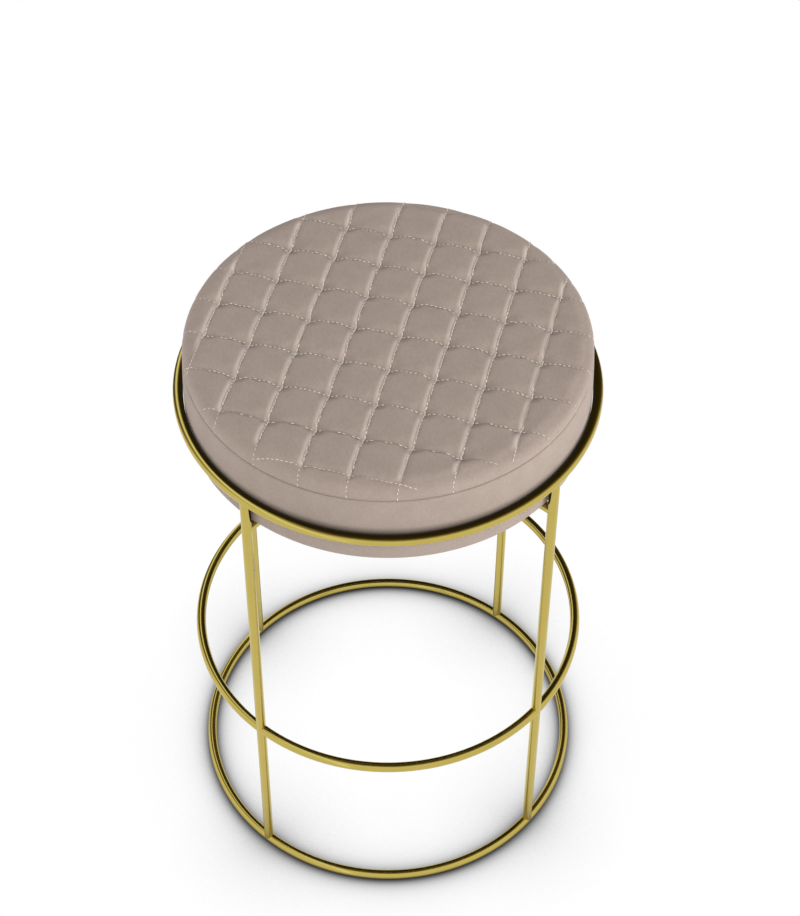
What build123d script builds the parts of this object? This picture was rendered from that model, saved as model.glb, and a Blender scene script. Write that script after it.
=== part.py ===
"""Round counter stool: a welded frame of one round rod, and a quilted seat that drops into it.

Millimetres, +Z up. The origin is on the floor, on the axis of the hoops, and -Y is the front.
"""
import os
from math import asin, cos, degrees, radians, sin, sqrt

from build123d import *

os.makedirs("parts", exist_ok=True)

# Frame: three equal hoops on four upright legs, all of one rod
rod_d = 10.0
hoop_radius = 202.5  # to the rod's centreline, for the hoops and the legs alike
footrest_height = 212.0  # to the footrest ring's centreline
seat_ring_height = 571.5  # to the seat ring's centreline

# Nylon button glides, pressed into the base ring under the legs
glide_d = 6.0
glide_pad = 1.0  # the ring stands this far off the floor
glide_cheek = 1.2  # how far the pad reaches up the sides of the rod
glide_edge = 0.3
glide_stem_d = 3.2
glide_stem = 4.0

# Seat: board, foam, side band and quilted top
seat_drop = 33.5  # from the seat ring's centreline down to the board's underside
seat_gap = 0.7  # from the side band at its widest to the seat ring
band_height = 85.5  # from the band's lower edge to the seam
band_thickness = 2.0
seam_draw = 1.8  # the seam pulls the band in at the top
foot_draw = 0.6  # the turned edge pulls it in at the bottom
foot_round = 2.5
turn_thickness = 1.0  # the cloth, pulled tight under the board
turn_width = 26.0
board_thickness = 12.0
dust_cover_thickness = 0.6
dust_cover_lap = 14.0  # how far the dust cover covers the turned cloth

# Quilting: square cells, turned on the seat and off its middle
crown = 4.0
shoulder = 9.0  # the round edge from the seam up to the top
quilt_pitch = 45.3
quilt_turn = -19.3
quilt_shift = (0.27, 0.06)  # place of the grid's first crossing, in cells
quilt_floor = 1.5  # cloth and wadding left under a stitched line
quilt_puff = 5.5  # rise of a cell above its stitched lines

# Seat fixing: tabs on the cross bars, screwed from below into tee nuts
tab_inset = 82.5  # from the leg's axis in to the middle of the tab
tab_thickness = 2.5
tab_saddle = 0.5  # depth of the groove that sits on the bar
tab_width = 22.0
tab_heel = 3.0  # from the bar's side to the short end
tab_margin = 9.0  # from the screw to the long end
tab_corner = 4.0
screw_d = 6.0
screw_short = 0.6  # from the screw's tip to the top of the board
screw_hole_clearance = 0.25
screw_head_d = 11.5
screw_head = 4.0
screw_head_round = 1.5
screw_recess_d = 4.2  # hexagon socket, across corners
screw_recess = 2.2
washer_d = 13.0
washer_thickness = 1.5
washer_gap = 2.5  # from the bar's side to the washer
thread_clearance = 0.1
tee_barrel_d = 8.0
tee_barrel_short = 3.0  # from the end of the barrel to the board's underside
tee_flange_d = 19.0
tee_flange = 1.5

# Places that follow from the sizes above
rod_r = rod_d / 2
seat_radius = hoop_radius - rod_r - seat_gap
base_height = glide_pad + rod_r
board_bottom = seat_ring_height - seat_drop
board_top = board_bottom + board_thickness
band_bottom = board_bottom - turn_thickness
seam_height = band_bottom + band_height
seam_radius = seat_radius - seam_draw
foot_radius = seat_radius - foot_draw
crown_height = seam_height + crown
crown_radius = (seam_radius**2 + crown**2) / (2 * crown)
crown_centre = crown_height - crown_radius
crown_reach = degrees(asin(seat_radius / crown_radius))  # half the angle that the seat takes of it
arch_foot = board_top - crown_centre
flank = (
    (foot_radius - band_thickness, board_bottom),
    (seat_radius - band_thickness, (band_bottom + seam_height) / 2),
    (seam_radius - band_thickness, seam_height),
)  # the band's inner face, which the foam fills
lap_inner = foot_radius - turn_width
lap_outer = lap_inner + dust_cover_lap
tab_top = board_bottom - dust_cover_thickness
tab_bottom = tab_top - tab_thickness
bar_height = tab_bottom + tab_saddle - rod_r
tab_radius = hoop_radius - tab_inset
tab_short = rod_r + tab_heel
screw_offset = rod_r + washer_gap + washer_d / 2
tab_long = screw_offset + tab_margin
hole_r = screw_d / 2 + screw_hole_clearance
screw_head_top = tab_bottom - washer_thickness
screw_length = board_top - screw_short - screw_head_top
tee_barrel = board_thickness - tee_barrel_short

# Directions of the legs, evenly round the hoops
legs = ("front_left", "front_right", "back_right", "back_left")
leg_step = 360 / len(legs)
corners = {name: leg_step * (i - (len(legs) - 1) / 2) for i, name in enumerate(legs)}


def across(angle, radius, offset=0.0):
    """Point at a radius along a leg's direction, and offset square to it."""
    a = radians(angle)
    return (radius * cos(a) - offset * sin(a), radius * sin(a) + offset * cos(a))


def hoop_plane(height):
    """Plane across a hoop's rod, on its centreline."""
    return Plane((hoop_radius, 0, height), x_dir=(0, 0, -1), z_dir=(0, 1, 0))


def bar_plane(angle):
    """Plane on the seat's axis at the cross bars' height, facing out along one leg's direction."""
    return Plane((0, 0, bar_height), x_dir=(0, 0, 1), z_dir=(*across(angle, 1), 0))


def arch_plane(turn):
    """Plane from the crown's centre up to one edge of the seat, across one set of stitched lines."""
    upright = Plane((0, 0, crown_centre), x_dir=(1, 0, 0), z_dir=(0, -1, 0))
    return upright.rotated((-crown_reach, 0, turn), Extrinsic.XYZ)


def valley(reach):
    """Foot of an arch on its plane, where a stitched line passes the seat's middle at this distance."""
    return (reach, sqrt(crown_radius**2 - reach**2) + quilt_floor)


def finish(builder, name):
    """Label a finished piece and write it."""
    builder.part.label = name
    export_step(builder.part, f"parts/{name}.step")


screw_points = [across(angle, tab_radius, screw_offset) for angle in corners.values()]
leg_points = {name: across(angle, hoop_radius) for name, angle in corners.items()}

# Hoops: rod bent round and welded end to end. The base ring is drilled for its glides.
with BuildPart() as base_ring:
    with BuildSketch(hoop_plane(base_height)):
        Circle(rod_r)
    revolve(axis=Axis.Z)
    with BuildSketch(Plane.XY):
        with Locations(*leg_points.values()):
            Circle(glide_stem_d / 2)
    extrude(amount=glide_pad + glide_stem, mode=Mode.SUBTRACT)
finish(base_ring, "base_ring")

with BuildPart() as footrest_ring:
    with BuildSketch(hoop_plane(footrest_height)):
        Circle(rod_r)
    revolve(axis=Axis.Z)
finish(footrest_ring, "footrest_ring")

with BuildPart() as seat_ring:
    with BuildSketch(hoop_plane(seat_ring_height)):
        Circle(rod_r)
    revolve(axis=Axis.Z)
finish(seat_ring, "seat_ring")

# Glides: a pad under the ring, hollowed to the rod, on a stem that plugs into it
for name, point in leg_points.items():
    with BuildPart() as glide:
        with BuildSketch(Plane.XY):
            with Locations(point):
                Circle(glide_d / 2)
        extrude(amount=glide_pad + glide_cheek)
        chamfer(glide.edges().group_by(Axis.Z)[0], glide_edge)
        add(base_ring.part, mode=Mode.SUBTRACT)
        with BuildSketch(Plane.XY.offset(glide_edge)):
            with Locations(point):
                Circle(glide_stem_d / 2)
        extrude(amount=glide_pad + glide_stem - glide_edge)
    finish(glide, f"glide_{name}")

# Legs: straight rods between the hoops, with both ends hollowed to sit on them
upper_legs = {}
for name, point in leg_points.items():
    with BuildPart() as lower_leg:
        with BuildSketch(Plane.XY.offset(base_height)):
            with Locations(point):
                Circle(rod_r)
        extrude(amount=footrest_height - base_height)
        add(base_ring.part, mode=Mode.SUBTRACT)
        add(footrest_ring.part, mode=Mode.SUBTRACT)
    finish(lower_leg, f"lower_leg_{name}")

    with BuildPart() as upper_leg:
        with BuildSketch(Plane.XY.offset(footrest_height)):
            with Locations(point):
                Circle(rod_r)
        extrude(amount=seat_ring_height - footrest_height)
        add(footrest_ring.part, mode=Mode.SUBTRACT)
        add(seat_ring.part, mode=Mode.SUBTRACT)
    finish(upper_leg, f"upper_leg_{name}")
    upper_legs[name] = upper_leg.part

# Cross bars under the seat: one from leg to leg, and two that meet it in the middle
with BuildPart() as seat_bar_long:
    with BuildSketch(bar_plane(corners["back_right"])):
        Circle(rod_r)
    extrude(amount=hoop_radius, both=True)
    add(upper_legs["back_right"], mode=Mode.SUBTRACT)
    add(upper_legs["front_left"], mode=Mode.SUBTRACT)
finish(seat_bar_long, "seat_bar_long")

short_bars = []
for name in ("front_right", "back_left"):
    with BuildPart() as seat_bar_short:
        with BuildSketch(bar_plane(corners[name])):
            Circle(rod_r)
        extrude(amount=hoop_radius)
        add(seat_bar_long.part, mode=Mode.SUBTRACT)
        add(upper_legs[name], mode=Mode.SUBTRACT)
    finish(seat_bar_short, f"seat_bar_{name}")
    short_bars.append(seat_bar_short.part)

# Tabs: stamped plates welded across the bars, with the screw hole on the long end
for name, angle in corners.items():
    with BuildPart() as seat_tab:
        with BuildSketch(Plane((0, 0, tab_bottom), x_dir=(*across(angle, 1), 0))):
            with Locations((tab_radius, (tab_long - tab_short) / 2)):
                RectangleRounded(tab_width, tab_short + tab_long, tab_corner)
            with Locations((tab_radius, screw_offset)):
                Circle(hole_r, mode=Mode.SUBTRACT)
        extrude(amount=tab_thickness)
        for bar in (seat_bar_long.part, *short_bars):
            add(bar, mode=Mode.SUBTRACT)
    finish(seat_tab, f"seat_tab_{name}")

# Seat board: a plywood disc, drilled for the tee nuts and let in for their flanges
with BuildPart() as seat_board:
    with BuildSketch(Plane.XY.offset(board_bottom)):
        Circle(foot_radius - band_thickness)
    extrude(amount=board_thickness)
    with BuildSketch(Plane.XY.offset(board_bottom)):
        with Locations(*screw_points):
            Circle(tee_barrel_d / 2)
    extrude(amount=board_thickness, mode=Mode.SUBTRACT)
    with BuildSketch(Plane.XY.offset(board_top)):
        with Locations(*screw_points):
            Circle(tee_flange_d / 2)
    extrude(amount=-tee_flange, mode=Mode.SUBTRACT)
finish(seat_board, "seat_board")

# Side band: velvet round the seat, drawn in at the seam and turned under the board
with BuildPart() as side_band:
    with BuildSketch(Plane.XZ) as band_section:
        with BuildLine():
            outer = ThreePointArc(
                (foot_radius, band_bottom),
                (seat_radius, (band_bottom + seam_height) / 2),
                (seam_radius, seam_height),
            )
            inner = ThreePointArc(*flank)
            Line(outer @ 1, inner @ 1)
            Polyline(inner @ 0, (lap_inner, board_bottom), (lap_inner, band_bottom), outer @ 0)
        make_face()
        fillet(band_section.vertices().group_by(Axis.Z)[0].sort_by(Axis.X)[-1], foot_round)
    revolve(axis=Axis.Z)
finish(side_band, "side_band")

# Foam pad: fills the band from the board up, and ends in a low crown
with BuildPart() as foam_pad:
    with BuildSketch(Plane.XZ):
        with BuildLine():
            side = ThreePointArc(*flank)
            dome = TangentArc((0, crown_height), side @ 1, tangent=(1, 0))
            Polyline(dome @ 0, (0, board_bottom), side @ 0)
        make_face()
    revolve(axis=Axis.Z)
    split(bisect_by=Plane.XY.offset(board_top), keep=Keep.TOP)
finish(foam_pad, "foam_pad")

# Quilted top: velvet stitched through wadding in square cells, sewn to the band at the seam.
# Two rows of arches over the crown, crossed, leave a pillow in each cell and a valley along each line.
with BuildPart() as quilted_top:
    with BuildSketch(Plane.XZ):
        with BuildLine():
            dome = TangentArc((0, crown_height), flank[-1], tangent=(1, 0))
            Line(dome @ 1, (seam_radius, seam_height))
            edge = TangentArc(
                (seam_radius, seam_height),
                (seam_radius - shoulder, seam_height + shoulder),
                tangent=(0, 1),
            )
            Polyline(edge @ 1, (0, crown_height + shoulder + quilt_puff), dome @ 0)
        make_face()
    revolve(axis=Axis.Z)
    for turn, shift in zip((quilt_turn, quilt_turn + 90), quilt_shift):
        cells = int(seam_radius / quilt_pitch) + 2
        valleys = [valley((i + shift) * quilt_pitch) for i in range(-cells, cells + 1)]
        with BuildSketch(arch_plane(turn)):
            with BuildLine():
                for left, right in zip(valleys, valleys[1:]):
                    SagittaArc(left, right, quilt_puff)
                Polyline(
                    valleys[-1],
                    (valleys[-1][0], arch_foot),
                    (valleys[0][0], arch_foot),
                    valleys[0],
                )
            make_face()
        revolve(
            axis=Axis((0, 0, crown_centre), (*across(turn, 1), 0)),
            revolution_arc=2 * crown_reach,
            mode=Mode.INTERSECT,
        )
finish(quilted_top, "quilted_top")

# Dust cover: thin black cloth under the seat, over the edge of the turned velvet
with BuildPart() as dust_cover:
    with BuildSketch(Plane.XZ):
        with BuildLine():
            Polyline(
                (0, board_bottom),
                (lap_inner, board_bottom),
                (lap_inner, band_bottom),
                (lap_outer, band_bottom),
                (lap_outer, band_bottom - dust_cover_thickness),
                (lap_inner - dust_cover_thickness, band_bottom - dust_cover_thickness),
                (lap_inner - dust_cover_thickness, tab_top),
                (0, tab_top),
                close=True,
            )
        make_face()
    revolve(axis=Axis.Z)
    with BuildSketch(Plane.XY.offset(tab_top)):
        with Locations(*screw_points):
            Circle(hole_r)
    extrude(amount=dust_cover_thickness, mode=Mode.SUBTRACT)
finish(dust_cover, "dust_cover")

# Fixings: a flanged tee nut in the board, and a screw and washer from below, at each tab
with BuildPart() as tee_nuts:
    with BuildSketch(Plane.XY.offset(board_top)):
        with Locations(*screw_points):
            Circle(tee_flange_d / 2)
    extrude(amount=-tee_flange)
    with BuildSketch(Plane.XY.offset(board_top)):
        with Locations(*screw_points):
            Circle(tee_barrel_d / 2)
    extrude(amount=-tee_barrel)
    with BuildSketch(Plane.XY.offset(board_top)):
        with Locations(*screw_points):
            Circle(screw_d / 2 + thread_clearance)
    extrude(amount=-tee_barrel, mode=Mode.SUBTRACT)
finish(tee_nuts, "tee_nuts")

with BuildPart() as seat_washers:
    with BuildSketch(Plane.XY.offset(tab_bottom)):
        with Locations(*screw_points):
            Circle(washer_d / 2)
            Circle(hole_r, mode=Mode.SUBTRACT)
    extrude(amount=-washer_thickness)
finish(seat_washers, "seat_washers")

with BuildPart() as seat_screws:
    with BuildSketch(Plane.XY.offset(screw_head_top)):
        with Locations(*screw_points):
            Circle(screw_head_d / 2)
    extrude(amount=-screw_head)
    fillet(seat_screws.edges().group_by(Axis.Z)[0], screw_head_round)
    with BuildSketch(Plane.XY.offset(screw_head_top - screw_head)):
        with Locations(*screw_points):
            RegularPolygon(screw_recess_d / 2, 6)
    extrude(amount=screw_recess, mode=Mode.SUBTRACT)
    with BuildSketch(Plane.XY.offset(screw_head_top)):
        with Locations(*screw_points):
            Circle(screw_d / 2)
    extrude(amount=screw_length)
finish(seat_screws, "seat_screws")
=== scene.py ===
"""Round counter stool: a gold rod frame and a quilted velvet seat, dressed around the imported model."""
import math
import random

import bmesh
import bpy
from mathutils import Matrix, Vector, noise
from mathutils.bvhtree import BVHTree


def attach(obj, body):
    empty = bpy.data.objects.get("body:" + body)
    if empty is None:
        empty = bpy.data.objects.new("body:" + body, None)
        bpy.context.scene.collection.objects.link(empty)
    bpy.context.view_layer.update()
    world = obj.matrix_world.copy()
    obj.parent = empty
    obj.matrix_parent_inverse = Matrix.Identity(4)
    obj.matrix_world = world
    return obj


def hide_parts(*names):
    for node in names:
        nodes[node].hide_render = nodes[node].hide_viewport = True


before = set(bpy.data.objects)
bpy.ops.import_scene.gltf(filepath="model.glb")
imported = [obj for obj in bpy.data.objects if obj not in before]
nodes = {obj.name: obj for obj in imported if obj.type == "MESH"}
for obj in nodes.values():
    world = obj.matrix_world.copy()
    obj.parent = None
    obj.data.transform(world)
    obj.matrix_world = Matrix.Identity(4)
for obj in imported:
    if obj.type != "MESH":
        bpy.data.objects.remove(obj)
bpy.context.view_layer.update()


# Rod frame
# Hoops, legs, cross bars and seat tabs are steel, welded, ground flush, polished and plated a pale gold.
# The plating is bright, with faint wipe marks and hairlines from polishing.
def new_group(name, inputs, outputs):
    """An empty shader group with named number inputs and outputs, and its own two end nodes."""
    group = bpy.data.node_groups.new(name, "ShaderNodeTree")
    for label, value in inputs.items():
        group.interface.new_socket(label, in_out="INPUT", socket_type="NodeSocketFloat").default_value = value
    for label in outputs:
        group.interface.new_socket(label, in_out="OUTPUT", socket_type="NodeSocketFloat")
    return group, group.nodes.new("NodeGroupInput"), group.nodes.new("NodeGroupOutput")


def on_object(tree):
    """The place on the object, in metres."""
    return tree.nodes.new("ShaderNodeTexCoord").outputs["Object"]


def noise_node(tree, coords, detail=2.0, roughness=0.5, scale=1.0):
    """A noise texture in a node tree, fed by these coordinates."""
    made = tree.nodes.new("ShaderNodeTexNoise")
    made.inputs["Scale"].default_value = scale
    made.inputs["Detail"].default_value = detail
    made.inputs["Roughness"].default_value = roughness
    tree.links.new(coords, made.inputs["Vector"])
    return made


def mapped(tree, value, low, high, from_low=0.3, from_high=0.7):
    """A number spread from one range to another, and held inside it."""
    made = tree.nodes.new("ShaderNodeMapRange")
    for label, number in (("From Min", from_low), ("From Max", from_high), ("To Min", low), ("To Max", high)):
        made.inputs[label].default_value = number
    tree.links.new(value, made.inputs["Value"])
    return made.outputs["Result"]


def toned(tree, mask, first, second):
    """A colour between two tones of one finish, by a mask. The first may come from another node."""
    made = tree.nodes.new("ShaderNodeMix")
    made.data_type = "RGBA"
    if isinstance(first, tuple):
        made.inputs[6].default_value = (*first, 1)
    else:
        tree.links.new(first, made.inputs[6])
    made.inputs[7].default_value = (*second, 1)
    tree.links.new(mask, made.inputs[0])
    return made.outputs[2]


def raised(tree, height, depth, strength=1.0):
    """A bump of this depth in metres from a height mask."""
    made = tree.nodes.new("ShaderNodeBump")
    made.inputs["Distance"].default_value = depth
    made.inputs["Strength"].default_value = strength
    tree.links.new(height, made.inputs["Height"])
    return made.outputs["Normal"]


def new_finish(name):
    """An empty finish: its material, node tree and shader."""
    made = bpy.data.materials.new(name)
    made.use_nodes = True
    return made, made.node_tree, made.node_tree.nodes["Principled BSDF"]


def feed(tree, shader, colour, roughness, normal):
    """Join a finish's colour, roughness and normal to its shader."""
    for label, socket in (("Base Color", colour), ("Roughness", roughness), ("Normal", normal)):
        tree.links.new(socket, shader.inputs[label])


def use_group(tree, group, **values):
    """A group placed in a finish with its own values."""
    made = tree.nodes.new("ShaderNodeGroup")
    made.node_tree = group
    for label, value in values.items():
        made.inputs[label.replace("_", " ")].default_value = value
    return made


def dress(names, finish):
    """Give CAD nodes a finish in place of their plain one."""
    for name in names:
        nodes[name].data.materials.clear()
        nodes[name].data.materials.append(finish)


marks, ends_in, ends_out = new_group(
    "handling_marks", {"Smudge Scale": 30.0, "Hairline Scale": 900.0}, ("Smudge", "Hairline")
)
where = on_object(marks)
smudge = noise_node(marks, where, detail=4.0, roughness=0.6)
hairline = noise_node(marks, where, detail=2.0, roughness=0.7)
marks.links.new(ends_in.outputs["Smudge Scale"], smudge.inputs["Scale"])
marks.links.new(ends_in.outputs["Hairline Scale"], hairline.inputs["Scale"])
marks.links.new(smudge.outputs["Fac"], ends_out.inputs["Smudge"])
marks.links.new(hairline.outputs["Fac"], ends_out.inputs["Hairline"])

gold, tree, shader = new_finish("polished_gold")
wear = use_group(tree, marks, Smudge_Scale=28.0, Hairline_Scale=1400.0)
feed(
    tree, shader,
    toned(tree, wear.outputs["Smudge"], (0.50, 0.385, 0.085), (0.56, 0.45, 0.115)),
    mapped(tree, wear.outputs["Smudge"], 0.10, 0.17),
    raised(tree, wear.outputs["Hairline"], 0.00001, 0.25),
)
shader.inputs["Metallic"].default_value = 1.0
corners = ("front_left", "front_right", "back_right", "back_left")
rods = ["base_ring", "footrest_ring", "seat_ring"]
rods += ["seat_bar_long", "seat_bar_front_right", "seat_bar_back_left"]
for corner in corners:
    rods += [f"lower_leg_{corner}", f"upper_leg_{corner}", f"seat_tab_{corner}"]
dress(rods, gold)

# Floor glides
# Four dark nylon buttons, moulded with a matt skin and pressed into holes under the base ring.
# They keep the plated rod off the floor.
nylon, tree, shader = new_finish("moulded_nylon")
wear = use_group(tree, marks, Smudge_Scale=260.0, Hairline_Scale=3000.0)
feed(
    tree, shader,
    toned(tree, wear.outputs["Smudge"], (0.012, 0.010, 0.008), (0.035, 0.030, 0.024)),
    mapped(tree, wear.outputs["Smudge"], 0.45, 0.65),
    raised(tree, wear.outputs["Hairline"], 0.00004, 0.5),
)
dress([f"glide_{corner}" for corner in corners], nylon)


# Seat board
# A disc of 12 mm plywood, bare, with five plies at its edge, drilled and let in for the tee nuts.
# The velvet is stapled under it, and the seat screws hold it to the tabs.
def stretched(tree, coords, scale, turn=0.0):
    """Coordinates turned about the upright axis and scaled by axis."""
    made = tree.nodes.new("ShaderNodeMapping")
    made.inputs["Rotation"].default_value = (0, 0, turn)
    made.inputs["Scale"].default_value = scale
    tree.links.new(coords, made.inputs["Vector"])
    return made.outputs["Vector"]


def worked(tree, operation, *values):
    """One sum on node sockets and plain numbers."""
    made = tree.nodes.new("ShaderNodeMath")
    made.operation = operation
    for socket, value in zip(made.inputs, values):
        if isinstance(value, float):
            socket.default_value = value
        else:
            tree.links.new(value, socket)
    return made.outputs[0]


plywood, tree, shader = new_finish("bare_plywood")
place = on_object(tree)
grain = noise_node(tree, stretched(tree, place, (6, 140, 60)), detail=5.0, roughness=0.65)
plies = tree.nodes.new("ShaderNodeTexWave")
plies.bands_direction = "Z"
plies.inputs["Scale"].default_value = 66.0
plies.inputs["Distortion"].default_value = 0.3
tree.links.new(place, plies.inputs["Vector"])
ply_share = mapped(tree, plies.outputs["Fac"], 0.6, 1.25, 0.0, 1.0)
ply_tone = worked(tree, "MULTIPLY", grain.outputs["Fac"], ply_share)
feed(
    tree, shader,
    toned(tree, ply_tone, (0.34, 0.20, 0.095), (0.74, 0.56, 0.36)),
    mapped(tree, grain.outputs["Fac"], 0.55, 0.75),
    raised(tree, grain.outputs["Fac"], 0.0002, 0.4),
)
dress(["seat_board"], plywood)

# Tee nuts, washers and screws
# M6 fixings of zinc-plated steel: a dull blue-grey plate with a cloudy spangle.
# The screws pass through the washers and tabs from below, into tee nuts in the board.
zinc, tree, shader = new_finish("zinc_plate")
wear = use_group(tree, marks, Smudge_Scale=420.0, Hairline_Scale=2600.0)
feed(
    tree, shader,
    toned(tree, wear.outputs["Smudge"], (0.46, 0.475, 0.50), (0.68, 0.69, 0.70)),
    mapped(tree, wear.outputs["Smudge"], 0.26, 0.42),
    raised(tree, wear.outputs["Hairline"], 0.00003, 0.5),
)
shader.inputs["Metallic"].default_value = 1.0
dress(["tee_nuts", "seat_washers", "seat_screws"], zinc)


# Foam pad
# A cut round of upholstery foam on the board, with a low crown. It fills the cover and sets its shape.
# The cover, drawn tight over it, holds it in place.
def new_piece(bm, name, finish, smooth=True):
    """A finished mesh as a piece that rides on the stool."""
    mesh = bpy.data.meshes.new(name)
    bm.to_mesh(mesh)
    bm.free()
    for face in mesh.polygons:
        face.use_smooth = smooth
    mesh.materials.append(finish)
    piece = bpy.data.objects.new(name, mesh)
    bpy.context.scene.collection.objects.link(piece)
    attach(piece, "root")
    return piece


def turned(points, steps, closed):
    """A profile of (radius, height) turned once round the seat's axis, with its faces outwards."""
    bm = bmesh.new()
    verts = [bm.verts.new((radius, 0, height)) for radius, height in points]
    edges = [bm.edges.new(pair) for pair in zip(verts, verts[1:])]
    if closed:
        edges.append(bm.edges.new((verts[-1], verts[0])))
    bmesh.ops.spin(
        bm, geom=verts + edges, cent=(0, 0, 0), axis=(0, 0, 1), angle=2 * math.pi, steps=steps, use_merge=True
    )
    bmesh.ops.remove_doubles(bm, verts=bm.verts, dist=1e-6)
    bmesh.ops.recalc_face_normals(bm, faces=bm.faces)
    return bm


def rounded(piece, levels):
    """Subdivision that rounds a piece between its loops."""
    made = piece.modifiers.new("rounding", "SUBSURF")
    made.levels = made.render_levels = levels


foam, tree, shader = new_finish("cream_foam")
place = on_object(tree)
cells = noise_node(tree, place, detail=3.0, roughness=0.7, scale=900.0)
tint = noise_node(tree, place, detail=3.0, scale=18.0)
feed(
    tree, shader,
    toned(tree, mapped(tree, tint.outputs["Fac"], 0.0, 1.0), (0.70, 0.60, 0.36), (0.80, 0.73, 0.50)),
    mapped(tree, cells.outputs["Fac"], 0.85, 0.98),
    raised(tree, cells.outputs["Fac"], 0.0006, 0.7),
)
shader.inputs["Specular IOR Level"].default_value = 0.2
foam_profile = (
    (0, 0.5502), (0.100, 0.5502), (0.1932, 0.5502), (0.1938, 0.5512), (0.1944, 0.575), (0.1943, 0.595),
    (0.1932, 0.615), (0.1915, 0.6205), (0.186, 0.6220), (0.150, 0.6236), (0.100, 0.6251), (0.050, 0.6260),
    (0, 0.6263),
)
foam_round = new_piece(turned(foam_profile, 96, False), "seat_foam", foam)
rounded(foam_round, 1)
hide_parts("foam_pad")


# Side band
# A strip of taupe velvet round the foam, joined at the back, sewn to the top in a plain seam and drawn
# tight under the board. It is pleated where it turns under, because the edge is round. Where the seat ring
# hugs it, a painted shade darkens it to near black in a narrow ring, in place of the shadow in that crease.
def along_axis(tree, vector, axis):
    """How far a vector reaches along an axis."""
    made = tree.nodes.new("ShaderNodeVectorMath")
    made.operation = "DOT_PRODUCT"
    made.inputs[1].default_value = axis
    tree.links.new(vector, made.inputs[0])
    return made.outputs["Value"]


def split(tree, vector):
    """A vector's three parts."""
    made = tree.nodes.new("ShaderNodeSeparateXYZ")
    tree.links.new(vector, made.inputs[0])
    return made.outputs


pile_and_shade, ends_in, ends_out = new_group(
    "cloth_pile_and_back_shade", {"Nap Scale": 40.0, "Fibre Scale": 1500.0}, ("Nap", "Brush", "Fibre", "Painted Back Shade")
)
where = on_object(pile_and_shade)
nap = noise_node(pile_and_shade, where, detail=4.0, roughness=0.55)
brush = noise_node(pile_and_shade, stretched(pile_and_shade, where, (700, 260, 400), turn=0.3), detail=3.0, roughness=0.7)
fibre = noise_node(pile_and_shade, where, detail=2.0, roughness=0.8)
pile_and_shade.links.new(ends_in.outputs["Nap Scale"], nap.inputs["Scale"])
pile_and_shade.links.new(ends_in.outputs["Fibre Scale"], fibre.inputs["Scale"])
# Painted shade: surfaces that face back and up are darkened, in place of the shade on the far walls of the
# quilted squares.
turned_to = pile_and_shade.nodes.new("ShaderNodeNewGeometry").outputs["Normal"]
backwards = along_axis(pile_and_shade, turned_to, (-0.3, 1.8, 0))
back_shade_facing = worked(pile_and_shade, "MULTIPLY", backwards, split(pile_and_shade, turned_to)["Z"])
pile_and_shade.links.new(mapped(pile_and_shade, back_shade_facing, 0.0, 1.0, 0.4, 1.05), ends_out.inputs["Painted Back Shade"])
pile_and_shade.links.new(nap.outputs["Fac"], ends_out.inputs["Nap"])
pile_and_shade.links.new(brush.outputs["Fac"], ends_out.inputs["Brush"])
pile_and_shade.links.new(fibre.outputs["Fac"], ends_out.inputs["Fibre"])

velvet, tree, shader = new_finish("taupe_velvet")
cloth = use_group(tree, pile_and_shade, Nap_Scale=55.0, Fibre_Scale=1300.0)
nap_share = mapped(tree, cloth.outputs["Nap"], 0.0, 0.35)
brush_share = mapped(tree, cloth.outputs["Brush"], 0.0, 0.65)
highlight_stripe = tree.nodes.new("ShaderNodeAttribute")
highlight_stripe.attribute_name = "painted_highlight"
level = split(tree, on_object(tree))["Z"]
# Painted shade: near black in a narrow ring at the seat ring's height, standing in for the shadow in the
# crease.
painted_ring_shade = worked(
    tree, "MULTIPLY",
    mapped(tree, level, 0.0, 1.0, 0.5690, 0.5710), mapped(tree, level, 0.95, 0.0, 0.5728, 0.5830),
)
even = toned(tree, worked(tree, "ADD", nap_share, brush_share), (0.345, 0.275, 0.233), (0.430, 0.349, 0.301))
# Painted highlight: the stripe lightens the velvet towards a pale tone.
with_highlight = toned(tree, highlight_stripe.outputs["Fac"], even, (0.74, 0.64, 0.57))
# Painted shade: back- and up-facing velvet is darkened towards a deep brown.
with_back_shade = toned(tree, cloth.outputs["Painted Back Shade"], with_highlight, (0.25, 0.195, 0.16))
feed(
    tree, shader,
    toned(tree, painted_ring_shade, with_back_shade, (0.050, 0.036, 0.028)),
    mapped(tree, cloth.outputs["Nap"], 0.75, 0.92),
    raised(tree, cloth.outputs["Fibre"], 0.00025, 0.5),
)
shader.inputs["Specular IOR Level"].default_value = 0.15
shader.inputs["Sheen Weight"].default_value = 0.25
shader.inputs["Sheen Roughness"].default_value = 0.4
shader.inputs["Sheen Tint"].default_value = (1.0, 0.93, 0.88, 1)

band_top, skew_from = 0.6213, 0.59
seam_level, seam_skew = 0.6185, 0.003
slack_depth = 0.00025
under_radius, under_height = 0.1945, 0.5376
pleat_count, pleat_depth = 46, 0.00028
band_profile = (
    (0.1702, 0.5379), (0.1702, 0.5371), (0.1780, 0.5370), (0.1860, 0.5370), (0.1925, 0.5371), (0.1950, 0.5378),
    (0.1961, 0.5395), (0.1964, 0.5460), (0.1970, 0.5600), (0.1974, 0.5715), (0.1971, 0.5850), (0.1966, 0.6000),
    (0.1962, 0.6110), (0.1958, 0.6180), (0.1953, 0.6206), (0.1941, band_top), (0.1931, 0.6205),
    (0.1934, 0.6150), (0.1945, 0.5950), (0.1947, 0.5750), (0.1943, 0.5500), (0.1942, 0.5379), (0.1860, 0.5379),
)


def seam_height(place):
    """Height of the seam between the band and the top, which is sewn a little askew."""
    return seam_level + seam_skew * math.cos(math.atan2(place.y, place.x) - math.pi / 4)


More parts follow.
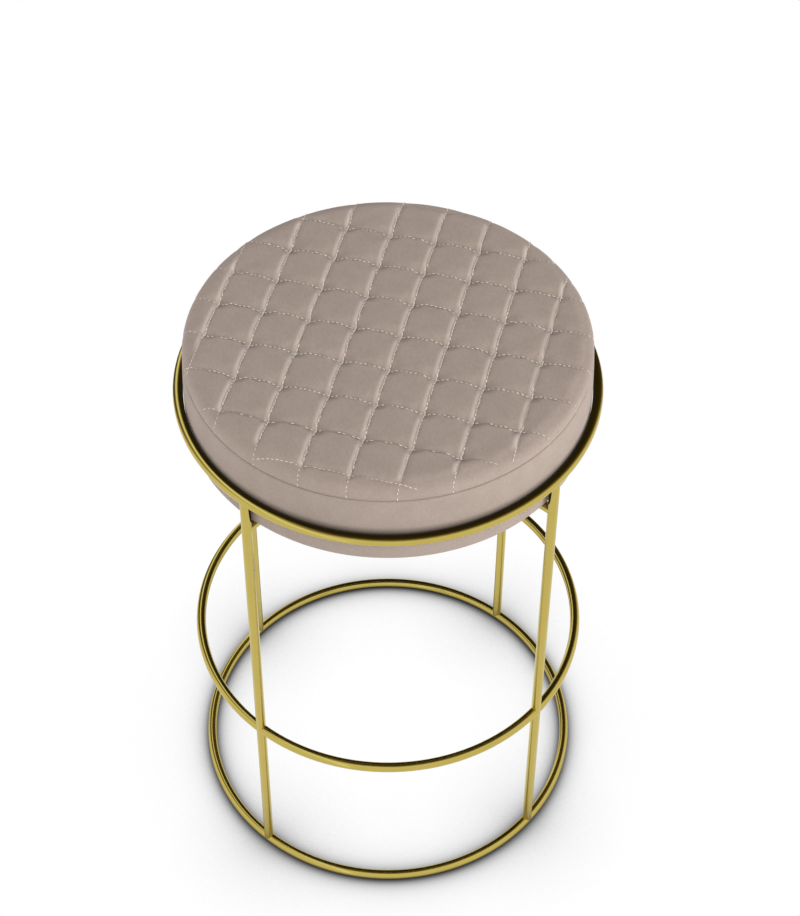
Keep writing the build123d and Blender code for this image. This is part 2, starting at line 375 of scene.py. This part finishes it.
bm = turned(band_profile, 160, True)
for vert in bm.verts:
    radius = math.hypot(vert.co.x, vert.co.y)
    angle = math.atan2(vert.co.y, vert.co.x)
    slack = noise.noise(Vector((vert.co.x * 22, vert.co.y * 22, vert.co.z * 9)))
    vert.co.xy *= 1 - slack_depth * (0.5 + 0.5 * slack) / radius
    vert.co.z += (seam_height(vert.co) - band_top) * max(0, vert.co.z - skew_from) / (band_top - skew_from)
    if radius < under_radius and vert.co.z < under_height:
        drift = 3 * noise.noise(Vector((math.cos(angle), math.sin(angle), 3)) * 2)
        vert.co.z -= pleat_depth * (1 + math.sin(pleat_count * angle + drift))
band = new_piece(bm, "velvet_side_band", velvet)
rounded(band, 1)
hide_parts("side_band")

# Quilted top
# A round of the same velvet, stitched through wadding in squares and sewn to the band at its edge.
# The wadding swells each square, and the stitched lines and the seam hold it down. The lines dip where
# they cross. A painted highlight lightens a stripe along the right edge of each square, for the light on its
# roll.
pitch = 0.0453
quilt_turn = math.radians(-19.3)
first_crossing = (0.27, 0.06)
roll_radius, roll_sides = 0.186, 120
roll = ((0.1888, 0.97), (0.1912, 0.88), (0.1931, 0.73), (0.1944, 0.52), (0.1950, 0.28), (0.1942, 0.0))
underside = ((0.1915, 0.6160), (0.185, 0.6215), (0.150, 0.6237), (0.080, 0.6250), (0.020, 0.6255))
grid_steps, grading = 180, 0.65
close_by = 0.0004
valley_fade = 0.022
stitch_lift, crown = 0.0075, 0.0008
arch, arch_rise, arch_fall, arch_width = 0.0039, 0.16, 0.20, 0.13
puff, puff_edge, puff_lean = 0.0036, 0.0006, 1.3
plump_out, plump_up, plump_edge = 0.0006, 0.0004, 0.0022
rim_hold, rim_fade = 0.85, 4
pressure, cloth_frames = 110.0, 8
# Width, fade and end of the painted highlight stripe.
stripe_width, stripe_fade, stripe_end = 0.0056, 1.2, 0.006


def drawn_out(bm, rim, rings):
    """Rings of (radius, height) added to an open edge. Gives the last ring."""
    for radius, height in rings:
        grown = bmesh.ops.extrude_edge_only(bm, edges=rim)["geom"]
        rim = [item for item in grown if isinstance(item, bmesh.types.BMEdge) and item.is_boundary]
        for vert in {vert for edge in rim for vert in edge.verts}:
            vert.co.xy *= radius / vert.co.xy.length
            vert.co.z = height
    return rim


def settle(piece):
    """Apply a piece's modifiers to its mesh."""
    mesh = bpy.data.meshes.new_from_object(piece.evaluated_get(bpy.context.evaluated_depsgraph_get()))
    piece.modifiers.clear()
    piece.data = mesh


bm = bmesh.new()
bmesh.ops.create_grid(bm, x_segments=grid_steps, y_segments=grid_steps, size=5 * pitch)
for vert in bm.verts:
    for k in (0, 1):
        vert.co[k] -= grading * pitch * math.sin(2 * math.pi * vert.co[k] / pitch) / (2 * math.pi)
bmesh.ops.translate(bm, vec=(first_crossing[0] * pitch, first_crossing[1] * pitch, 0), verts=bm.verts)
bmesh.ops.rotate(bm, cent=(0, 0, 0), matrix=Matrix.Rotation(quilt_turn, 3, "Z"), verts=bm.verts)
for side in range(roll_sides):
    out = Matrix.Rotation(2 * math.pi * side / roll_sides, 3, "Z") @ Vector((1, 0, 0))
    bmesh.ops.bisect_plane(
        bm, geom=bm.verts[:] + bm.edges[:] + bm.faces[:], dist=1e-5,
        plane_co=out * roll_radius, plane_no=out, clear_outer=True,
    )
bmesh.ops.remove_doubles(bm, verts=bm.verts, dist=close_by)
drawn_out(bm, [edge for edge in bm.edges if edge.is_boundary], roll)
bmesh.ops.recalc_face_normals(bm, faces=bm.faces)
if sum(face.normal.z for face in bm.faces) < 0:
    bmesh.ops.reverse_faces(bm, faces=bm.faces)

unturn = Matrix.Rotation(-quilt_turn, 3, "Z")
bm.verts.index_update()
stitched, shares, laid_heights, swells, edges, flats = [], [], [], [], [], []
for vert in bm.verts:
    radius = vert.co.xy.length
    inner = vert.co.to_2d().to_3d() * min(1, roll_radius / max(radius, 1e-6))
    share = vert.co.z if radius > roll_radius + 0.0005 else 1.0
    cell = [x / pitch - first for x, first in zip(unturn @ inner, first_crossing)]
    apart = min(abs(x - round(x)) for x in cell) * pitch
    if vert.is_boundary or apart < close_by:
        stitched.append(vert.index)
    inside = max(0, min(1, (roll_radius + 0.002 - radius) / valley_fade))
    past = cell[0] % 1
    dip = inside * max(math.exp(-((past / arch_rise) ** 2)), math.exp(-(((1 - past) / arch_fall) ** 2)))
    dip *= math.exp(-(((cell[1] - round(cell[1])) / arch_width) ** 2))
    low = seam_height(vert.co)
    top = seam_level + stitch_lift + crown * (1 - (radius / roll_radius) ** 2)
    top = top + arch * (1 - dip) + 0.5 * puff * (1 - inside)
    vert.co.z = low + (top - low) * share
    shares.append(share * (0.5 + 0.5 * inside))
    laid_heights.append(vert.co.z)
    swells.append(share * abs(math.sin(math.pi * cell[0]) * math.sin(math.pi * cell[1])) ** 0.6)
    edges.append(puff_edge * (1 + puff_lean * max(past**4, 0.5 * (1 - cell[1] % 1) ** 4)))
    if share < 1:
        plump = 4 * share * (1 - share) * (1 - math.exp(-apart / plump_edge))
        vert.co += vert.co.to_2d().to_3d().normalized() * plump_out * plump + Vector((0, 0, plump_up * plump))
    flats.append((vert.co.copy(), rim_hold * (1 - min(1, rim_fade * inside))))
quilt = new_piece(bm, "quilted_velvet_top", velvet)
quilt.vertex_groups.new(name="stitched").add(stitched, 1.0, "REPLACE")
wadding = quilt.modifiers.new("wadding", "CLOTH")
wadding.settings.quality = 6
wadding.settings.tension_stiffness = wadding.settings.compression_stiffness = 3.0
wadding.settings.shear_stiffness = 1.0
wadding.settings.bending_stiffness = 0.1
wadding.settings.use_pressure = True
wadding.settings.uniform_pressure_force = pressure
wadding.settings.vertex_group_mass = "stitched"
wadding.settings.shrink_min = -0.015
wadding.settings.effector_weights.gravity = 0.0
wadding.collision_settings.use_collision = False
wadding.collision_settings.use_self_collision = False
for number in range(1, cloth_frames + 1):
    bpy.context.scene.frame_set(number)
settle(quilt)
for vert, share, low, edge in zip(quilt.data.vertices, shares, laid_heights, edges):
    rise = vert.co.z - low
    if rise > 0:
        vert.co.z += share * (puff * (1 - math.exp(-rise / edge)) - rise)
for vert, (flat, held) in zip(quilt.data.vertices, flats):
    vert.co = vert.co.lerp(flat, held)
rounded(quilt, 1)
settle(quilt)
bm = bmesh.new()
bm.from_mesh(quilt.data)
surface = BVHTree.FromBMesh(bm)
hem = drawn_out(bm, [edge for edge in bm.edges if edge.is_boundary], underside)
bmesh.ops.poke(bm, faces=bmesh.ops.edgeloop_fill(bm, edges=hem)["faces"])
bmesh.ops.recalc_face_normals(bm, faces=bm.faces)
for face in bm.faces:
    face.smooth = True
bm.to_mesh(quilt.data)
bm.free()
# Painted highlight: a pale stripe along the right edge of each square, for the light on its rolled edge.
painted_highlight = quilt.data.attributes.new("painted_highlight", "FLOAT", "POINT")
for vert in quilt.data.vertices:
    short = 1 - ((unturn @ vert.co).x / pitch - first_crossing[0]) % 1
    on_top = max(0, min(1, (roll_radius - vert.co.xy.length) / stripe_end))
    painted_highlight.data[vert.index].value = on_top * max(0, 1 - short * pitch / stripe_width) ** stripe_fade
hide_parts("quilted_top")

# Quilting thread
# Pale polyester thread in a lock stitch along every line of the quilting, pulled down into the velvet.
# Its stitches are finer and flatter on the rim, where the roll draws them tight.
thread, tree, shader = new_finish("pale_thread")
cloth = use_group(tree, pile_and_shade, Nap_Scale=180.0, Fibre_Scale=2600.0)
feed(
    tree, shader,
    toned(tree, mapped(tree, cloth.outputs["Nap"], 0.0, 1.0), (0.84, 0.75, 0.67), (0.95, 0.88, 0.81)),
    mapped(tree, cloth.outputs["Fibre"], 0.5, 0.75),
    raised(tree, cloth.outputs["Fibre"], 0.0001, 0.5),
)
stitch_length, stitch_gap, stitch_width = 0.0036, 0.0008, 0.0010
rim_radius, thread_radius, last_line = 0.176, 0.1938, 0.182
square_on = 0.75
down = Vector((0, 0, -1))
lengthwise = Matrix.Rotation(math.pi / 2, 4, "Y")
hand = random.Random(7)
bm = bmesh.new()
for family in (0, 1):
    along = Matrix.Rotation(quilt_turn + math.pi / 2 * (1 - family), 3, "Z") @ Vector((1, 0, 0))
    across = Matrix.Rotation(quilt_turn + math.pi / 2 * family, 3, "Z") @ Vector((1, 0, 0))
    for line in range(-5, 5):
        reach = (line + first_crossing[family]) * pitch
        if abs(reach) > last_line:
            continue
        half = math.sqrt(thread_radius**2 - reach**2)
        step = stitch_length + stitch_gap
        count = int(2 * half / step)
        path = [across * reach + along * ((number + 0.5) * step - half) for number in range(count)]
        hits = [surface.ray_cast(place + Vector((0, 0, 0.7)), down)[0] for place in path]
        ahead = hits[1:] + [hits[-1] + hits[-1] - hits[-2]]
        spots = [(hit, (following - hit).normalized()) for hit, following in zip(hits, ahead)]
        for end in (-1, 1):
            out = (across * reach + along * half * end).normalized()
            if abs(out.dot(along)) < square_on:
                continue
            last = hits[0 if end < 0 else -1].z
            for share in (0.70, 0.25):
                height = seam_height(out) + share * (last - seam_height(out))
                hit = surface.ray_cast(out * 0.3 + Vector((0, 0, height)), -out)[0]
                spots.append((hit, down))
        row = bmesh.new()
        for place, lie in spots:
            facing = surface.find_nearest(place)[1]
            if facing.dot(place - Vector((0, 0, 0.5))) < 0:
                facing = -facing
            side = facing.cross(lie).normalized()
            turn = Matrix((lie, side, lie.cross(side))).transposed().to_4x4()
            length = stitch_length * (hand.uniform(0.38, 0.54) if family else hand.uniform(0.60, 0.66))
            on_rim = place.to_2d().length > rim_radius
            wide, thick = (0.34, 0.22) if on_rim else (0.6, 0.5)
            size = Matrix.Diagonal((length, stitch_width * wide, stitch_width * thick, 1))
            sway = Matrix.Rotation(hand.uniform(-0.2, 0.2), 4, "Z")
            lift = facing * hand.uniform(0.0010 - 0.0007 * family, 0.0014) * (0.0 if on_rim else 1.0)
            shift = lift + side * hand.uniform(-0.0003, 0.0003)
            spot = Matrix.Translation(place + shift)
            bmesh.ops.create_uvsphere(
                row, u_segments=6, v_segments=5, radius=1.0, matrix=spot @ turn @ sway @ size @ lengthwise
            )
        sewn = bpy.data.meshes.new("row")
        row.to_mesh(sewn)
        row.free()
        bm.from_mesh(sewn)
        bpy.data.meshes.remove(sewn)
new_piece(bm, "quilting_thread", thread)

# Dust cover
# Thin black spun-bonded cloth that hides the board from below, stapled over the turned edge of the velvet.
# It has a round hole for each of the four seat screws.
dust_cloth, tree, shader = new_finish("black_spunbond")
cloth = use_group(tree, pile_and_shade, Nap_Scale=90.0, Fibre_Scale=1100.0)
feed(
    tree, shader,
    toned(tree, mapped(tree, cloth.outputs["Fibre"], 0.0, 1.0), (0.010, 0.010, 0.011), (0.040, 0.040, 0.043)),
    mapped(tree, cloth.outputs["Nap"], 0.7, 0.9),
    raised(tree, cloth.outputs["Fibre"], 0.0002, 0.6),
)
flat_radius, flat_height = 0.1690, 0.53745
screw_spot, screw_hole = Vector((0.120, 0.014, 0)), 0.0034
over_velvet, cloth_sag = ((0.1704, 0.53655), (0.1765, 0.53645), (0.1842, 0.53655)), 0.0002
bm = bmesh.new()
bmesh.ops.create_circle(bm, cap_ends=False, segments=128, radius=flat_radius)
for angle in (-135, -45, 45, 135):
    spot = Matrix.Translation(Matrix.Rotation(math.radians(angle), 3, "Z") @ screw_spot)
    bmesh.ops.create_circle(bm, cap_ends=False, segments=20, radius=screw_hole, matrix=spot)
bmesh.ops.triangle_fill(bm, edges=bm.edges, use_beauty=True)
bmesh.ops.translate(bm, vec=(0, 0, flat_height), verts=bm.verts)
bmesh.ops.recalc_face_normals(bm, faces=bm.faces)
if sum(face.normal.z for face in bm.faces) > 0:
    bmesh.ops.reverse_faces(bm, faces=bm.faces)
edge = [item for item in bm.edges if item.is_boundary and item.verts[0].co.xy.length > 0.16]
drawn_out(bm, edge, over_velvet)
for vert in bm.verts:
    if vert.co.xy.length > flat_radius + 0.0007:
        vert.co.z -= cloth_sag * noise.noise(Vector((vert.co.x * 40, vert.co.y * 40, 5)))
cover = new_piece(bm, "underside_dust_cloth", dust_cloth)
thickness = cover.modifiers.new("thickness", "SOLIDIFY")
thickness.thickness = 0.0004
thickness.offset = 1.0
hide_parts("dust_cover")

# Staples
# Galvanised wire staples round the edge of the dust cover, driven through the velvet into the board.
# Each has a flat bridge and two legs, and sits a little askew, as a hand tool leaves it.
staple_count, staple_radius = 44, 0.1785
bridge_size, bridge_height = (0.0100, 0.0012, 0.0007), 0.53590
leg_size, leg_out, leg_height = (0.0007, 0.0012, 0.0050), 0.00465, 0.53840
bm = bmesh.new()
for number in range(staple_count):
    angle = 2 * math.pi * (number + 0.25 * hand.uniform(-1, 1)) / staple_count
    skew = math.pi / 2 + hand.uniform(-0.2, 0.2)
    spot = Vector((staple_radius * math.cos(angle), staple_radius * math.sin(angle), 0))
    wire = bmesh.ops.create_cube(bm, size=1.0)["verts"]
    bmesh.ops.scale(bm, vec=bridge_size, verts=wire)
    bmesh.ops.translate(bm, vec=(0, 0, bridge_height), verts=wire)
    for side in (-1, 1):
        leg = bmesh.ops.create_cube(bm, size=1.0)["verts"]
        bmesh.ops.scale(bm, vec=leg_size, verts=leg)
        bmesh.ops.translate(bm, vec=(side * leg_out, 0, leg_height), verts=leg)
        wire += leg
    bmesh.ops.rotate(bm, cent=(0, 0, 0), matrix=Matrix.Rotation(skew, 3, "Z"), verts=wire)
    bmesh.ops.translate(bm, vec=spot, verts=wire)
    bmesh.ops.rotate(bm, cent=spot, matrix=Matrix.Rotation(angle, 3, "Z"), verts=wire)
bmesh.ops.bevel(bm, geom=bm.edges[:], offset=0.00015, affect="EDGES", segments=1, profile=0.5, material=-1)
new_piece(bm, "dust_cover_staples", zinc, smooth=False)


# Studio
# A white floor that fades into a white surround, its glow darkened by a painted soft shadow where the stool
# stands on it, large soft lamps right, left and in front, and two pieces that only the polished rods mirror:
# a dome overhead that glows dark and bright to paint their reflections and highlights, and a dark sleeve round
# the seat that paints the shade they mirror from the velvet.
def plain_rays(tree):
    """One for a ray from the camera, a mirror or glass, and none for a ray that lights something."""
    rays = tree.nodes.new("ShaderNodeLightPath")
    most = rays.outputs["Is Camera Ray"]
    for label in ("Is Glossy Ray", "Is Transmission Ray"):
        most = worked(tree, "MAXIMUM", most, rays.outputs[label])
    return most


def bare_finish(name):
    """A finish without its usual shader, for the stage: its material, node tree and surface socket."""
    made = bpy.data.materials.new(name)
    made.use_nodes = True
    made.node_tree.nodes.remove(made.node_tree.nodes["Principled BSDF"])
    return made, made.node_tree, made.node_tree.nodes["Material Output"].inputs["Surface"]


def stage_piece(bm, name, finish):
    """A mesh as a piece of the stage."""
    mesh = bpy.data.meshes.new(name)
    bm.to_mesh(mesh)
    bm.free()
    mesh.materials.append(finish)
    piece = bpy.data.objects.new(name, mesh)
    bpy.context.scene.collection.objects.link(piece)
    return piece


def only_mirrored(piece):
    """Hide a piece from all but mirrored rays."""
    piece.visible_camera = piece.visible_diffuse = piece.visible_transmission = False
    piece.visible_shadow = piece.visible_volume_scatter = False


scene = bpy.context.scene
scene.view_settings.view_transform = "Standard"
surround = bpy.data.worlds.new("white_surround")
scene.world = surround
surround.use_nodes = True
tree = surround.node_tree
sky = tree.nodes["Background"]
sky.inputs["Color"].default_value = (1, 1, 1, 1)
outward = tree.nodes.new("ShaderNodeTexCoord").outputs["Generated"]
strength = tree.nodes.new("ShaderNodeMix")
tree.links.new(plain_rays(tree), strength.inputs[0])
backward = along_axis(tree, outward, (0, 0.602, 0.799))
tree.links.new(mapped(tree, backward, 0.95, 0.60, -0.6, 1.0), strength.inputs[2])
strength.inputs[3].default_value = 1.0
tree.links.new(strength.outputs[0], sky.inputs["Strength"])

paper, tree, surface_in = bare_finish("white_floor")
# Painted shadow: ambient occlusion darkens the floor's glow near the stool.
near_object = tree.nodes.new("ShaderNodeAmbientOcclusion")
near_object.inputs["Distance"].default_value = 0.11
near_object.samples = 16
shadow = tree.nodes.new("ShaderNodeGamma")
shadow.inputs["Gamma"].default_value = 3.0
tree.links.new(near_object.outputs["Color"], shadow.inputs["Color"])
glow = tree.nodes.new("ShaderNodeEmission")
tree.links.new(shadow.outputs["Color"], glow.inputs["Color"])
matt = tree.nodes.new("ShaderNodeBsdfDiffuse")
matt.inputs["Color"].default_value = (0.9, 0.9, 0.9, 1)
blend = tree.nodes.new("ShaderNodeMixShader")
tree.links.new(plain_rays(tree), blend.inputs[0])
tree.links.new(matt.outputs[0], blend.inputs[1])
tree.links.new(glow.outputs[0], blend.inputs[2])
tree.links.new(blend.outputs[0], surface_in)
bm = bmesh.new()
bmesh.ops.create_grid(bm, x_segments=2, y_segments=2, size=12.0)
floor = stage_piece(bm, "floor", paper)

# Painted reflection: a dome seen only in mirrors, glowing dark over most of it with bright bands that the rods
# show as highlights.
dark, tree, surface_in = bare_finish("painted_reflection_dome")
place = on_object(tree)
direction = tree.nodes.new("ShaderNodeVectorMath")
direction.operation = "NORMALIZE"
tree.links.new(place, direction.inputs[0])
over_tones = (
    (0.25, 1.0), (0.48, 1.05), (0.555, 0.75), (0.60, 0.42),
    (0.65, 0.15), (0.70, 0.06), (0.80, 0.03), (1.0, 0.015),
)
side_tones = (
    (0.20, 0.05), (0.31, 1.4), (0.36, 0.55), (0.42, 0.07),
    (0.50, 0.02), (0.66, 0.03), (0.74, 0.05), (0.85, 0.05),
)
lighter = tree.nodes.new("ShaderNodeMix")
lighter.data_type = "RGBA"
lighter.blend_type = "LIGHTEN"
lighter.inputs[0].default_value = 1.0
for source, axis, sideways, steps, colour_in in (
    (direction.outputs[0], (0, 0.75, 0.65), -0.5, over_tones, lighter.inputs[6]),
    (place, (1, 0, 0), 0.0, side_tones, lighter.inputs[7]),
):
    apart = worked(tree, "ABSOLUTE", split(tree, source)["X"])
    spread = worked(tree, "MULTIPLY_ADD", apart, sideways, along_axis(tree, source, axis))
    fade = tree.nodes.new("ShaderNodeValToRGB")
    tree.links.new(mapped(tree, spread, 0.0, 1.0, -1.0, 1.0), fade.inputs[0])
    while len(fade.color_ramp.elements) < len(steps):
        fade.color_ramp.elements.new(0.5)
    for stop, (spot, grey) in zip(fade.color_ramp.elements, steps):
        stop.position = spot
        stop.color = (grey, grey * (0.8 + 0.2 * grey), grey * (0.4 + 0.6 * grey), 1)
    tree.links.new(fade.outputs["Color"], colour_in)
glow = tree.nodes.new("ShaderNodeEmission")
tree.links.new(lighter.outputs[2], glow.inputs["Color"])
tree.links.new(glow.outputs[0], surface_in)
bm = bmesh.new()
bmesh.ops.create_uvsphere(bm, u_segments=64, v_segments=32, radius=1.0)
bmesh.ops.bisect_plane(
    bm, geom=bm.verts[:] + bm.edges[:] + bm.faces[:], dist=1e-5,
    plane_co=(0, 0, 0), plane_no=(0, 0, -1), clear_outer=True,
)
screen = stage_piece(bm, "painted_reflection_dome", dark)
only_mirrored(screen)

# Painted shade in reflection: a near-black glowing sleeve, seen only in mirrors, for the shaded velvet the
# seat ring would reflect.
shade, tree, surface_in = bare_finish("painted_shade_sleeve")
glow = tree.nodes.new("ShaderNodeEmission")
glow.inputs["Color"].default_value = (0.03, 0.025, 0.02, 1)
tree.links.new(glow.outputs[0], surface_in)
sleeve_profile = ((0.1966, 0.537), (0.19746, 0.5715), (0.1967, 0.600), (0.1960, 0.618))
sleeve = stage_piece(turned(sleeve_profile, 240, False), "painted_shade_sleeve", shade)
only_mirrored(sleeve)

seat_middle = Vector((0, 0, 0.5))
for name, spot, power, width in (
    ("right_lamp", (2.5, -1.4, 1.3), 46.0, 1.4),
    ("front_lamp", (-0.4, -2.6, 2.2), 3.0, 1.8),
    ("left_lamp", (-2.6, -0.9, 1.2), 15.0, 1.6),
):
    lamp = bpy.data.lights.new(name, "AREA")
    lamp.shape = "DISK"
    lamp.size = width
    lamp.energy = power
    stand = bpy.data.objects.new(name, lamp)
    stand.location = spot
    stand.rotation_euler = (seat_middle - Vector(spot)).to_track_quat("-Z", "Y").to_euler()
    stand.visible_glossy = False
    scene.collection.objects.link(stand)

lens = bpy.data.cameras.new("camera")
lens.lens = 83.44
lens.sensor_width = 36.0
lens.shift_x = 0.0131
lens.shift_y = -0.0964
camera = bpy.data.objects.new("camera", lens)
camera.location = (-0.1145, -1.4226, 2.0427)
camera.rotation_euler = (math.radians(44.39), 0, math.radians(-4.6))
scene.collection.objects.link(camera)
scene.camera = camera
